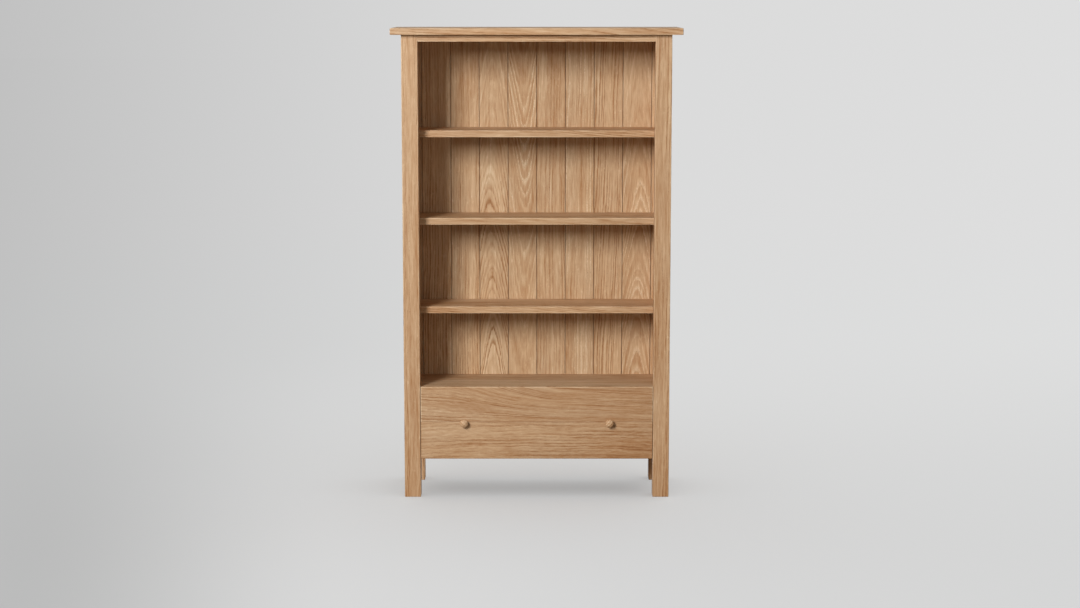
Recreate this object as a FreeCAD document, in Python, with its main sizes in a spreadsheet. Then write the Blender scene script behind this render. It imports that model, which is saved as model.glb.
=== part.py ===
import FreeCAD, Part
import math
import os
import re
import Sketcher

# A freestanding oak bookcase. Four square posts run down to the floor as legs and hold framed
# side panels, four tenoned rails and a back of tongue-and-groove boards. Three shelves lie on
# pins, a fourth is housed in the sides, and one wide drawer slides on wooden runners below it.
#
# Millimetres. The origin is on the floor under the centre of the whole bookcase, knobs
# included. +X is to the right and +Z up, and the drawer opens towards -Y.

SIZES = {
    # the case
    "overall_height": 1800,
    "case_width": 1020,  # over the posts
    "case_depth": 357,  # over the posts
    "post_size": 62,
    "post_easing": 2.5,
    "leg_height": 151,  # floor to the underside of the drawer front
    # the overhanging top
    "top_thickness": 25,
    "top_side_overhang": 40,
    "top_front_overhang": 25,
    "top_easing": 2.5,
    # the rails between the posts
    "rail_thickness": 22,
    "rail_setback": 1.5,  # front rail behind the faces of the posts
    "rail_easing": 1,
    "top_rail_height": 25.5,
    "rear_rail_height": 60,
    "lower_rail_height": 20,
    "tenon_shoulder": 4,
    "tenon_wall": 2,  # wood between a mortise and the panel's groove
    # the side panels
    "panel_thickness": 18,
    "panel_groove_depth": 10,
    # the back boards
    "back_board_thickness": 12,
    "end_board_width": 21.2,
    "board_gap": 1.2,
    "board_chamfer": 1.5,
    "tongue_thickness": 4,
    "tongue_length": 6,
    # the shelves, each height to its top
    "shelf_thickness": 26,
    "shelf_easing": 2,
    "shelf_front_gap": 1.5,
    "shelf_rear_gap": 1.5,
    "shelf_side_gap": 0.5,
    "upper_shelf_top": 1412.5,
    "middle_shelf_top": 1078,
    "lower_shelf_top": 735,
    "bottom_shelf_top": 433,
    "shelf_housing_depth": 6,
    # the shelf pins and their rows of holes
    "pin_diameter": 7,
    "pin_length": 22,
    "pin_hole_depth": 11,
    "pin_hole_pitch": 32,
    "pin_inset": 40,  # from the shelf's long edges
    "pin_chamfer": 0.8,
    # the drawer
    "drawer_front_thickness": 22,
    "drawer_front_easing": 1.5,
    "drawer_front_gap": 1.5,  # to each post
    "drawer_side_thickness": 14,
    "drawer_side_easing": 1.5,
    "drawer_side_gap": 3,  # inside each post
    "drawer_back_thickness": 14,
    "drawer_back_inset": 8,
    "drawer_bottom_thickness": 6,
    "drawer_bottom_rise": 10,  # above the lower edges of the sides
    "drawer_housing_depth": 5,
    "drawer_top_gap": 4,
    "drawer_rear_gap": 8,
    # what the drawer runs on
    "runner_width": 45,
    "guide_height": 25,
    "guide_gap": 1,
    "strip_screw_inset": 45,  # from the ends of the runners and guides
    "stop_setback": 15,
    "stop_depth": 25,
    "stop_height": 14,
    "stop_width": 90,
    # the turned knobs
    "knob_spacing": 560,
    "knob_diameter": 31,
    "knob_projection": 27,
    "knob_foot_radius": 8,
    "knob_neck_curve": 10,
    "knob_rim_height": 9,
    "knob_rim_round": 2.5,
    "knob_dome_rise": 5,
    "knob_bite": 15,
    # the screws
    "screw_diameter": 4,
    "screw_head_diameter": 8,
    "screw_head_height": 2.6,
    "screw_recess_depth": 1.3,
    "screw_recess_width": 1.2,
    "screw_point": 4,
    "head_sink": 0.5,  # below the face that it is driven into
    "top_screw_grip": 20,
    "top_screw_bite": 14,
    "back_screw_bite": 8,
    "side_screw_bite": 12,
    "stop_screw_bite": 15,
    "bottom_screw_bite": 20,
    # clearances
    "fit_gap": 0.2,  # glued and housed joints
    "slide_gap": 0.3,  # the drawer on its runners and at its stops
    "hole_gap": 0.1,  # round a screw or pin
    "bore_end_gap": 1,  # past the end of a screw or pin
}

FULL_BOARDS = 8
PIN_HOLES = 5  # in each row of holes at a shelf
TOP_SCREWS_PER_RAIL = 3
BOTTOM_SCREWS = 4
SIDES = {"left": -1, "right": 1}

# Lines that several pieces share, as expressions in the sizes above.
FRONT = "((max(knob_projection; top_front_overhang) - case_depth) / 2)"
REAR = f"({FRONT} + case_depth)"
FRONT_POST_REAR = f"({FRONT} + post_size)"
REAR_POST_FRONT = f"({REAR} - post_size)"
BOARDS_FRONT = f"({REAR_POST_FRONT} - back_board_thickness)"
TOP_UNDERSIDE = "(overall_height - top_thickness)"
OPENING_HALF = "(case_width / 2 - post_size)"
INNER_HALF = "((case_width - post_size - panel_thickness) / 2)"
TENON_LENGTH = "((post_size - panel_thickness) / 2 - tenon_wall)"
BOARD_WIDTH = f"(2 * ({INNER_HALF} - end_board_width) / {FULL_BOARDS})"
BOTTOM_SHELF_FRONT = f"({FRONT} + drawer_front_thickness + slide_gap)"
BOTTOM_SHELF_UNDERSIDE = "(bottom_shelf_top - shelf_thickness)"
SHELF_FRONT = f"({FRONT_POST_REAR} + shelf_front_gap)"
SHELF_REAR = f"({BOARDS_FRONT} - shelf_rear_gap)"
RUNNER_TOP = "(leg_height + lower_rail_height)"
RUNNER_LENGTH = f"({BOARDS_FRONT} - {FRONT_POST_REAR})"
DRAWER_HALF = f"({OPENING_HALF} - drawer_side_gap)"
GUIDE_WIDTH = f"({INNER_HALF} - {DRAWER_HALF} - guide_gap)"
BOX_FRONT = f"({FRONT} + drawer_front_thickness)"
BOX_REAR = f"({BOARDS_FRONT} - drawer_rear_gap)"
BOX_BOTTOM = f"({RUNNER_TOP} + slide_gap)"
BOX_HEIGHT = f"({BOTTOM_SHELF_UNDERSIDE} - drawer_top_gap - {BOX_BOTTOM})"
HEAD_SEAT = "(screw_head_height + head_sink)"

doc = FreeCAD.newDocument("Bookcase")
sheet = doc.addObject("Spreadsheet::Sheet", "sizes")
for row, (alias, size) in enumerate(SIZES.items(), 1):
    sheet.set(f"A{row}", alias)
    sheet.set(f"B{row}", str(size))
    sheet.setAlias(f"B{row}", alias)
doc.recompute()

nodes = []


def bound(expression):
    """The expression with each size written as its cell in the sheet."""

    def cell(word):
        return f"sizes.{word[0]}" if word[0] in SIZES else word[0]

    return re.sub("[a-z_]+", cell, expression)


def value(expression):
    return float(sheet.evalExpression(bound(expression)))


# ---- sketches and features -------------------------------------------------------------

# For each axis, the origin plane that faces along it and the way that plane's normal points.
PLANES = {"x": ("YZ_Plane", 1), "y": ("XZ_Plane", -1), "z": ("XY_Plane", 1)}


def new_body(label, place):
    """An empty body whose own origin lies at place, which becomes a node of that name."""
    body = doc.addObject("PartDesign::Body", label)
    body.Label = label
    for axis, expression in zip("xyz", place):
        body.setExpression(f"Placement.Base.{axis}", bound(expression))
    nodes.append(body)
    return body


def new_sketch(body, axis, start):
    """A sketch that faces along the body's axis, at start along it."""
    role, normal = PLANES[axis]
    plane = next(item for item in body.Origin.OriginFeatures if item.Role == role)
    sketch = body.newObject("Sketcher::SketchObject", f"{body.Name}_sketch")
    sketch.AttachmentSupport = [(plane, "")]
    sketch.MapMode = "FlatFace"
    sketch.setExpression("AttachmentOffset.Base.z", bound(f"{normal} * ({start})"))
    return sketch


def fix_point(sketch, geometry, end, point):
    """Holds one end of a line, or a centre, at a point given by two expressions."""
    for kind, expression in zip(("DistanceX", "DistanceY"), point):
        number = sketch.addConstraint(
            Sketcher.Constraint(kind, -1, 1, geometry, end, value(expression))
        )
        sketch.setExpression(f"Constraints[{number}]", bound(expression))


def arc_between(here, there, radius, turn):
    """The arc from here to there, under half a circle, that turns left or right on the way."""
    chord = there - here
    left = FreeCAD.Vector(-chord.y, chord.x, 0).normalize()
    rise = math.sqrt(radius**2 - chord.Length**2 / 4)
    centre = (here + there) / 2 + left * (rise if turn == "left" else -rise)
    circle = Part.Circle(centre, FreeCAD.Vector(0, 0, 1), radius)
    ends = [math.atan2(point.y - centre.y, point.x - centre.x) for point in (here, there)]
    if turn == "right":
        ends.reverse()
    return Part.ArcOfCircle(circle, *ends)


def draw_outline(sketch, outline):
    """A closed outline. Each point is (x, y), or (x, y, radius, turn) where an arc starts."""
    points = [FreeCAD.Vector(value(point[0]), value(point[1]), 0) for point in outline]
    ends = []
    for number, point in enumerate(outline):
        here, there = points[number], points[(number + 1) % len(points)]
        if len(point) == 2:
            sketch.addGeometry(Part.LineSegment(here, there), False)
            ends.append((1, 2))
        else:
            radius, turn = point[2:]
            sketch.addGeometry(arc_between(here, there, value(radius), turn), False)
            ends.append((1, 2) if turn == "left" else (2, 1))
    for number, point in enumerate(outline):
        following = (number + 1) % len(outline)
        sketch.addConstraint(
            Sketcher.Constraint(
                "Coincident", number, ends[number][1], following, ends[following][0]
            )
        )
        fix_point(sketch, number, ends[number][0], point[:2])
        if len(point) > 2:
            constraint = sketch.addConstraint(
                Sketcher.Constraint("Radius", number, value(point[2]))
            )
            sketch.setExpression(f"Constraints[{constraint}]", bound(point[2]))


def draw_circles(sketch, centres, diameter):
    upward = FreeCAD.Vector(0, 0, 1)
    for number, centre in enumerate(centres):
        middle = FreeCAD.Vector(*(value(expression) for expression in centre), 0)
        sketch.addGeometry(Part.Circle(middle, upward, value(diameter) / 2), False)
        fix_point(sketch, number, 3, centre)
        constraint = sketch.addConstraint(
            Sketcher.Constraint("Diameter", number, value(diameter))
        )
        sketch.setExpression(f"Constraints[{constraint}]", bound(diameter))


def rectangle(across, up):
    """The corners of a rectangle from its two ranges."""
    (left, right), (low, high) = across, up
    return [(left, low), (right, low), (right, high), (left, high)]


def add_feature(body, kind, sketch, direction, length):
    """A Pad or Pocket of the sketch in a direction such as "+x", and a test that it did work."""
    before = body.Shape.Volume if body.Tip else 0
    feature = body.newObject(f"PartDesign::{kind}", f"{body.Name}_{kind}")
    feature.Profile = sketch
    feature.setExpression("Length", bound(length))
    along_normal = int(direction[0] + "1") == PLANES[direction[1]][1]
    feature.Reversed = along_normal if kind == "Pocket" else not along_normal
    body.Tip = feature
    doc.recompute()
    change = feature.Shape.Volume - before
    if (change > -0.1) if kind == "Pocket" else (change < 0.1):
        raise SystemExit(f"{feature.Name} changed the volume by {change}")
    return feature


def pad(body, direction, outline, start, length):
    sketch = new_sketch(body, direction[1], start)
    draw_outline(sketch, outline)
    return add_feature(body, "Pad", sketch, direction, length)


def pocket(body, direction, outline, start, depth):
    sketch = new_sketch(body, direction[1], start)
    draw_outline(sketch, outline)
    return add_feature(body, "Pocket", sketch, direction, depth)


def drill(body, direction, centres, diameter, start, depth):
    """Round holes. The centres are in the two axes across the direction, in X, Y, Z order."""
    sketch = new_sketch(body, direction[1], start)
    draw_circles(sketch, centres, diameter)
    return add_feature(body, "Pocket", sketch, direction, depth)


def ease(body, radius, chosen=lambda edge: True):
    """Rounds the chosen edges of the body as it stands."""
    solid = body.Tip
    names = [f"Edge{n}" for n, edge in enumerate(solid.Shape.Edges, 1) if chosen(edge)]
    rounding = body.newObject("PartDesign::Fillet", f"{body.Name}_easing")
    rounding.Base = (solid, names)
    rounding.setExpression("Radius", bound(radius))
    body.Tip = rounding
    doc.recompute()


def turned(body, outline):
    """Revolves a half outline, drawn in the XY plane, about the body's Y axis."""
    sketch = new_sketch(body, "z", "0")
    draw_outline(sketch, outline)
    revolution = body.newObject("PartDesign::Revolution", f"{body.Name}_turning")
    revolution.Profile = sketch
    revolution.ReferenceAxis = (sketch, ["V_Axis"])
    revolution.Angle = 360
    body.Tip = revolution
    doc.recompute()


def block(label, across, back, up, place):
    """A plain board with its ranges along X, Y and Z, from its own origin."""
    body = new_body(label, place)
    height = f"{up[1]} - ({up[0]})"
    pad(body, "+z", rectangle(across, back), up[0], height)
    return body


# ---- screws and pins --------------------------------------------------------------------

# Turns that point the body's +Y axis in each direction.
TURNS = {
    "+x": FreeCAD.Rotation(FreeCAD.Vector(0, 0, 1), -90),
    "-x": FreeCAD.Rotation(FreeCAD.Vector(0, 0, 1), 90),
    "+y": FreeCAD.Rotation(),
    "-y": FreeCAD.Rotation(FreeCAD.Vector(0, 0, 1), 180),
    "+z": FreeCAD.Rotation(FreeCAD.Vector(1, 0, 0), 90),
}


def group(label, pattern, places):
    """One node that holds a copy of the pattern body at each (direction, place)."""
    copies = []
    for number, (direction, place) in enumerate(places):
        copy = doc.addObject("App::Link", f"{label}_{number}")
        copy.LinkedObject = pattern
        copy.Placement = FreeCAD.Placement(FreeCAD.Vector(), TURNS[direction])
        for axis, expression in zip("xyz", place):
            copy.setExpression(f".Placement.Base.{axis}", bound(expression))
        copies.append(copy)
    compound = doc.addObject("Part::Compound", label)
    compound.Label = label
    compound.Links = copies
    nodes.remove(pattern)
    nodes.append(compound)


def screws(label, length, places):
    """Pan-head screws. Each place is where the head's flat side seats."""
    screw = new_body(f"{label}_pattern", ("0", "0", "0"))
    shank = "screw_diameter / 2"
    head = "screw_head_diameter / 2"
    turned(
        screw,
        [
            ("0", "-screw_head_height"),
            (head, "-screw_head_height"),
            (head, "0"),
            (shank, "0"),
            (shank, f"{length} - screw_point"),
            ("0", length),
        ],
    )
    cross_recess(screw)
    group(label, screw, places)


def cross_recess(screw):
    arm = "screw_diameter / 2"
    narrow = "screw_recess_width / 2"
    for across, up in ((arm, narrow), (narrow, arm)):
        outline = rectangle((f"-{across}", across), (f"-{up}", up))
        pocket(screw, "+y", outline, "-screw_head_height", "screw_recess_depth")


def screw_hole(body, direction, centres, face, thickness):
    """A clearance hole through a board from its face, with a counterbore for the head."""
    toward = direction[0]
    seat = f"({face}) {toward} {HEAD_SEAT}"
    drill(body, direction, centres, "screw_head_diameter + 2 * hole_gap", face, HEAD_SEAT)
    drill(
        body,
        direction,
        centres,
        "screw_diameter + 2 * hole_gap",
        seat,
        f"{thickness} - {HEAD_SEAT}",
    )


def pilot_hole(body, direction, centres, face, bite):
    """A blind hole that takes the end of a screw."""
    diameter = "screw_diameter + 2 * hole_gap"
    drill(body, direction, centres, diameter, face, f"{bite} + bore_end_gap")


# ---- the frame --------------------------------------------------------------------------

# Each rail's front face and underside, its depth from front to back and its height.
RAILS = {
    "top_front_rail": (
        f"({FRONT} + rail_setback)",
        f"({TOP_UNDERSIDE} - top_rail_height)",
        "rail_thickness",
        "top_rail_height",
    ),
    "lower_front_rail": (
        BOTTOM_SHELF_FRONT,
        "leg_height",
        f"({FRONT_POST_REAR} - {BOTTOM_SHELF_FRONT})",
        "lower_rail_height",
    ),
    "top_rear_rail": (
        REAR_POST_FRONT,
        f"({TOP_UNDERSIDE} - rear_rail_height)",
        "rail_thickness",
        "rear_rail_height",
    ),
    "lower_rear_rail": (
        REAR_POST_FRONT,
        "leg_height",
        "rail_thickness",
        "rear_rail_height",
    ),
}
TOP_SCREW_X = [
    f"{step} * {OPENING_HALF} * 2 / {TOP_SCREWS_PER_RAIL}"
    for step in range(-(TOP_SCREWS_PER_RAIL // 2), TOP_SCREWS_PER_RAIL // 2 + 1)
]
BOARD_SEAMS = [
    f"({step} * {BOARD_WIDTH} - {INNER_HALF} + end_board_width)" for step in range(FULL_BOARDS + 1)
]
BOARD_EDGES = [f"(-{INNER_HALF})", *BOARD_SEAMS, INNER_HALF]
BOARD_MIDDLES = [f"(({low} + {high}) / 2)" for low, high in zip(BOARD_SEAMS, BOARD_SEAMS[1:])]


def post(name, side, rails, front_y, panel_side):
    """One square post, with a groove for the side panel and mortises for its rails."""
    middle_y = f"({front_y} + post_size / 2)"
    half = "post_size / 2"
    square = rectangle((f"-{half}", half), (f"-{half}", half))
    place = (f"{side} * (case_width - post_size) / 2", middle_y, "0")
    body = new_body(name, place)
    pad(body, "+z", square, "0", TOP_UNDERSIDE)
    top = value(TOP_UNDERSIDE)
    ease(body, "post_easing", lambda edge: edge.BoundBox.ZMin < top - 1)
    panel_half = "(panel_thickness / 2 + fit_gap)"
    groove = rectangle(
        (f"-{panel_half}", panel_half),
        (f"{panel_side} * (post_size / 2 - panel_groove_depth)", f"{panel_side} * post_size"),
    )
    pocket(body, "-z", groove, TOP_UNDERSIDE, f"{TOP_UNDERSIDE} - leg_height + fit_gap")
    outward = "+x" if side > 0 else "-x"
    for rail in rails:
        rail_front, underside, depth, height = RAILS[rail]
        edge = "(tenon_shoulder - fit_gap)"
        low_y = f"{rail_front} - {middle_y} + {edge}"
        high_y = f"{rail_front} - {middle_y} + {depth} - {edge}"
        mortise = rectangle(
            (low_y, high_y),
            (f"{underside} + {edge}", f"{underside} + {height} - {edge}"),
        )
        pocket(body, outward, mortise, f"{-side} * {half}", f"{TENON_LENGTH} + fit_gap")
    return body


def rail_board(name):
    """One rail with a stub tenon at each end."""
    front_y, underside, depth, height = RAILS[name]
    ends = (f"-{OPENING_HALF}", OPENING_HALF)
    body = block(name, ends, ("0", depth), ("0", height), ("0", front_y, underside))
    ease(body, "rail_easing", lambda edge: edge.BoundBox.XLength > 1)
    tenon = rectangle(
        ("tenon_shoulder", f"{depth} - tenon_shoulder"),
        ("tenon_shoulder", f"{height} - tenon_shoulder"),
    )
    pad(body, "+x", tenon, OPENING_HALF, TENON_LENGTH)
    pad(body, "-x", tenon, f"-{OPENING_HALF}", TENON_LENGTH)
    return body


for side_name, side in SIDES.items():
    front_rails = ("top_front_rail", "lower_front_rail")
    rear_rails = ("top_rear_rail", "lower_rear_rail")
    post(f"front_{side_name}_post", side, front_rails, FRONT, 1)
    post(f"rear_{side_name}_post", side, rear_rails, REAR_POST_FRONT, -1)

for name in RAILS:
    rail = rail_board(name)
    height = RAILS[name][3]
    if name.startswith("top"):
        centres = [(x, "rail_thickness / 2") for x in TOP_SCREW_X]
        sink = f"({height} - top_screw_grip)"
        drill(rail, "+z", centres, "screw_head_diameter + 2 * hole_gap", "0", sink)
        drill(rail, "+z", centres, "screw_diameter + 2 * hole_gap", sink, "top_screw_grip")
    if "rear" in name:
        centres = [(x, f"{height} / 2") for x in BOARD_MIDDLES]
        screw_hole(rail, "-y", centres, "rail_thickness", "rail_thickness")

top_panel = block(
    "top_panel",
    ("-case_width / 2 - top_side_overhang", "case_width / 2 + top_side_overhang"),
    ("-top_front_overhang", "case_depth"),
    ("0", "top_thickness"),
    ("0", FRONT, TOP_UNDERSIDE),
)
ease(top_panel, "top_easing")
TOP_SCREW_Y = [f"({RAILS[name][0]} + rail_thickness / 2)" for name in RAILS if "top" in name]
for screw_y in TOP_SCREW_Y:
    centres = [(x, f"{screw_y} - {FRONT}") for x in TOP_SCREW_X]
    pilot_hole(top_panel, "+z", centres, "0", "top_screw_bite")

# ---- the side panels --------------------------------------------------------------------

PANEL_FRONT = f"({FRONT_POST_REAR} - panel_groove_depth + fit_gap)"
PANEL_DEPTH = f"({REAR_POST_FRONT} + panel_groove_depth - fit_gap - {PANEL_FRONT})"
SHELF_TOPS = {name: f"{name}_top" for name in ("upper_shelf", "middle_shelf", "lower_shelf")}
PIN_ROWS = (f"({SHELF_FRONT} + pin_inset)", f"({SHELF_REAR} - pin_inset)")
STRIP_SCREW_Y = (
    f"({FRONT_POST_REAR} + strip_screw_inset)",
    f"({BOARDS_FRONT} - strip_screw_inset)",
)


def pin_height(shelf_top):
    """The centre height of the pins that carry a shelf."""
    return f"({shelf_top} - shelf_thickness - fit_gap - pin_diameter / 2)"


for side_name, side in SIDES.items():
    outward = "+x" if side > 0 else "-x"
    place = (f"{side} * {INNER_HALF}", PANEL_FRONT, "leg_height")
    panel = new_body(f"{side_name}_side_panel", place)
    outline = rectangle(("0", PANEL_DEPTH), ("0", f"{TOP_UNDERSIDE} - leg_height"))
    pad(panel, outward, outline, "0", "panel_thickness")
    housing = rectangle(
        ("-fit_gap", f"{PANEL_DEPTH} + fit_gap"),
        (
            f"{BOTTOM_SHELF_UNDERSIDE} - leg_height - fit_gap",
            "bottom_shelf_top - leg_height + fit_gap",
        ),
    )
    pocket(panel, outward, housing, "0", "shelf_housing_depth")
    for shelf_top in SHELF_TOPS.values():
        steps = range(-(PIN_HOLES // 2), PIN_HOLES // 2 + 1)
        centres = [
            (f"{y} - {PANEL_FRONT}", f"{pin_height(shelf_top)} + {n} * pin_hole_pitch - leg_height")
            for y in PIN_ROWS
            for n in steps
        ]
        drill(panel, outward, centres, "pin_diameter + 2 * hole_gap", "0", "pin_hole_depth")
    heights = ("lower_rail_height / 2", "lower_rail_height + guide_height / 2")
    centres = [(f"{y} - {PANEL_FRONT}", z) for y in STRIP_SCREW_Y for z in heights]
    pilot_hole(panel, outward, centres, "0", "side_screw_bite")

# ---- the back boards --------------------------------------------------------------------


def tongue_edge(width):
    """The right edge of a board, from its rear face to its front, with a tongue."""
    edge = f"({width} - board_gap / 2)"
    tip = f"({edge} + tongue_length)"
    rear = "(tongue_thickness - back_board_thickness) / 2"
    front = "-(tongue_thickness + back_board_thickness) / 2"
    return [
        (edge, "0"),
        (edge, rear),
        (tip, rear),
        (tip, front),
        (edge, front),
        (edge, "board_chamfer - back_board_thickness"),
        (f"{edge} - board_chamfer", "-back_board_thickness"),
    ]


def groove_edge():
    """The left edge of a board, from its front face to its rear, with a groove."""
    edge = "board_gap / 2"
    end = "(tongue_length - board_gap / 2 + fit_gap)"
    rear = "(tongue_thickness - back_board_thickness) / 2 + fit_gap"
    front = "-(tongue_thickness + back_board_thickness) / 2 - fit_gap"
    return [
        (f"{edge} + board_chamfer", "-back_board_thickness"),
        (edge, "board_chamfer - back_board_thickness"),
        (edge, front),
        (end, front),
        (end, rear),
        (edge, rear),
        (edge, "0"),
    ]


for number, (low, high) in enumerate(zip(BOARD_EDGES, BOARD_EDGES[1:]), 1):
    width = f"({high} - {low})"
    plain_left = [("fit_gap", "-back_board_thickness"), ("fit_gap", "0")]
    plain_right = [(f"{width} - fit_gap", "0"), (f"{width} - fit_gap", "-back_board_thickness")]
    left = plain_left if low == BOARD_EDGES[0] else groove_edge()
    right = plain_right if high == BOARD_EDGES[-1] else tongue_edge(width)
    board = new_body(f"back_board_{number:02d}", (low, REAR_POST_FRONT, "leg_height"))
    pad(board, "+z", right + left, "0", f"{TOP_UNDERSIDE} - leg_height")
    if low in BOARD_SEAMS and high in BOARD_SEAMS:
        heights = (
            "rear_rail_height / 2",
            f"{TOP_UNDERSIDE} - leg_height - rear_rail_height / 2",
        )
        pilot_hole(board, "-y", [(f"{width} / 2", z) for z in heights], "0", "back_screw_bite")

# ---- the shelves ------------------------------------------------------------------------

for name, shelf_top in SHELF_TOPS.items():
    half = f"({INNER_HALF} - shelf_side_gap)"
    shelf = block(
        name,
        (f"-{half}", half),
        ("0", f"{SHELF_REAR} - {SHELF_FRONT}"),
        ("0", "shelf_thickness"),
        ("0", SHELF_FRONT, f"{shelf_top} - shelf_thickness"),
    )
    ease(shelf, "shelf_easing")

# The bottom shelf passes between the front posts and widens behind them into its housings.
bottom_shelf = new_body("bottom_shelf", ("0", BOTTOM_SHELF_FRONT, BOTTOM_SHELF_UNDERSIDE))
shelf_half = f"({INNER_HALF} + shelf_housing_depth - fit_gap)"
nose_half = f"({OPENING_HALF} - fit_gap)"
nose_length = f"({FRONT_POST_REAR} - {BOTTOM_SHELF_FRONT} + fit_gap)"
shelf_depth = f"({BOARDS_FRONT} - {BOTTOM_SHELF_FRONT})"
shelf_outline = [
    (f"-{nose_half}", "0"),
    (nose_half, "0"),
    (nose_half, nose_length),
    (shelf_half, nose_length),
    (shelf_half, shelf_depth),
    (f"-{shelf_half}", shelf_depth),
    (f"-{shelf_half}", nose_length),
    (f"-{nose_half}", nose_length),
]
pad(bottom_shelf, "+z", shelf_outline, "0", "shelf_thickness")

# ---- runners, guides and stop -----------------------------------------------------------

for side_name, side in SIDES.items():
    outward = "+x" if side > 0 else "-x"
    strips = {
        "drawer_runner": ("runner_width", "leg_height", "lower_rail_height"),
        "drawer_guide": (GUIDE_WIDTH, RUNNER_TOP, "guide_height"),
    }
    for name, (width, underside, height) in strips.items():
        strip = new_body(
            f"{side_name}_{name}", (f"{side} * {INNER_HALF}", FRONT_POST_REAR, underside)
        )
        inward = "-x" if side > 0 else "+x"
        section = rectangle(("0", RUNNER_LENGTH), ("0", height))
        pad(strip, inward, section, "0", width)
        centres = [(f"{y} - {FRONT_POST_REAR}", f"{height} / 2") for y in STRIP_SCREW_Y]
        screw_hole(strip, outward, centres, f"{-side} * {width}", width)

# A block under the bottom shelf catches the drawer's back when the drawer is fully open.
STOP_FRONT = f"({BOTTOM_SHELF_FRONT} + stop_setback)"
STOP_SCREW_X = ("-stop_width / 4", "stop_width / 4")
drawer_stop = block(
    "drawer_stop",
    ("-stop_width / 2", "stop_width / 2"),
    ("0", "stop_depth"),
    ("0", "stop_height"),
    ("0", STOP_FRONT, f"{BOTTOM_SHELF_UNDERSIDE} - stop_height"),
)
centres = [(x, "stop_depth / 2") for x in STOP_SCREW_X]
screw_hole(drawer_stop, "+z", centres, "0", "stop_height")
centres = [(x, "stop_setback + stop_depth / 2") for x in STOP_SCREW_X]
pilot_hole(bottom_shelf, "+z", centres, "0", "stop_screw_bite")

# ---- the drawer -------------------------------------------------------------------------

FRONT_HALF = f"({OPENING_HALF} - drawer_front_gap)"
FRONT_HEIGHT = "(bottom_shelf_top - leg_height)"
KNOB_X = ("-knob_spacing / 2", "knob_spacing / 2")
BOX_LIFT = f"({BOX_BOTTOM} - leg_height)"  # lower edges of the sides above the front's
BOTTOM_HALF = f"({DRAWER_HALF} - drawer_side_thickness + drawer_housing_depth - fit_gap)"
BACK_REAR = f"({BOX_REAR} - drawer_back_inset)"
BACK_FRONT = f"({BACK_REAR} - drawer_back_thickness)"
BACK_LIFT = "(drawer_bottom_rise + drawer_bottom_thickness)"

drawer_front = block(
    "drawer_front",
    (f"-{FRONT_HALF}", FRONT_HALF),
    ("0", "drawer_front_thickness"),
    ("0", FRONT_HEIGHT),
    ("0", FRONT, "leg_height"),
)
ease(drawer_front, "drawer_front_easing", lambda edge: edge.BoundBox.YMax < 0.1)
for side in SIDES.values():
    outer = f"{side} * ({DRAWER_HALF} + fit_gap)"
    inner = f"{side} * ({DRAWER_HALF} - drawer_side_thickness - fit_gap)"
    low_x, high_x = (outer, inner) if side < 0 else (inner, outer)
    housing = rectangle(
        (low_x, high_x), (f"{BOX_LIFT} - fit_gap", f"{BOX_LIFT} + {BOX_HEIGHT} + fit_gap")
    )
    pocket(drawer_front, "-y", housing, "drawer_front_thickness", "drawer_housing_depth")
groove_low = f"{BOX_LIFT} + drawer_bottom_rise - fit_gap"
groove_high = f"{BOX_LIFT} + {BACK_LIFT} + fit_gap"
inside_half = f"({DRAWER_HALF} - drawer_side_thickness)"
bottom_groove = rectangle((f"-{inside_half}", inside_half), (groove_low, groove_high))
pocket(drawer_front, "-y", bottom_groove, "drawer_front_thickness", "drawer_housing_depth")
knob_centres = [(x, f"{FRONT_HEIGHT} / 2") for x in KNOB_X]
drill(
    drawer_front,
    "-y",
    knob_centres,
    "screw_diameter + 2 * hole_gap",
    "drawer_front_thickness",
    "drawer_front_thickness",
)

SIDE_FRONT = f"({BOX_FRONT} - drawer_housing_depth + fit_gap)"
SIDE_LENGTH = f"({BOX_REAR} - {SIDE_FRONT})"
for side_name, side in SIDES.items():
    outward = "+x" if side > 0 else "-x"
    place = (f"{side} * {inside_half}", SIDE_FRONT, BOX_BOTTOM)
    drawer_side = new_body(f"drawer_{side_name}_side", place)
    outline = rectangle(("0", SIDE_LENGTH), ("0", BOX_HEIGHT))
    pad(drawer_side, outward, outline, "0", "drawer_side_thickness")
    top = value(BOX_HEIGHT)
    ease(drawer_side, "drawer_side_easing", lambda edge: edge.BoundBox.ZMin > top - 0.1)
    bottom_groove = rectangle(
        ("-fit_gap", f"{SIDE_LENGTH} + fit_gap"),
        ("drawer_bottom_rise - fit_gap", f"{BACK_LIFT} + fit_gap"),
    )
    pocket(drawer_side, outward, bottom_groove, "0", "drawer_housing_depth")
    back_housing = rectangle(
        (f"{BACK_FRONT} - {SIDE_FRONT} - fit_gap", f"{BACK_REAR} - {SIDE_FRONT} + fit_gap"),
        (BACK_LIFT, f"{BOX_HEIGHT} + fit_gap"),
    )
    pocket(drawer_side, outward, back_housing, "0", "drawer_housing_depth")

drawer_back = block(
    "drawer_back",
    (f"-{BOTTOM_HALF}", BOTTOM_HALF),
    ("0", "drawer_back_thickness"),
    ("0", f"{BOX_HEIGHT} - {BACK_LIFT}"),
    ("0", BACK_FRONT, f"{BOX_BOTTOM} + {BACK_LIFT}"),
)
drawer_bottom = block(
    "drawer_bottom",
    (f"-{BOTTOM_HALF}", BOTTOM_HALF),
    ("0", f"{BACK_REAR} - {SIDE_FRONT}"),
    ("0", "drawer_bottom_thickness"),
    ("0", SIDE_FRONT, f"{BOX_BOTTOM} + drawer_bottom_rise"),
)
BOTTOM_SCREW_X = [
    f"{BOTTOM_HALF} * {2 * step - BOTTOM_SCREWS - 1} / {BOTTOM_SCREWS}"
    for step in range(1, BOTTOM_SCREWS + 1)
]
pilot_hole(
    drawer_back,
    "+z",
    [(x, "drawer_back_thickness / 2") for x in BOTTOM_SCREW_X],
    "0",
    "bottom_screw_bite",
)
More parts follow.
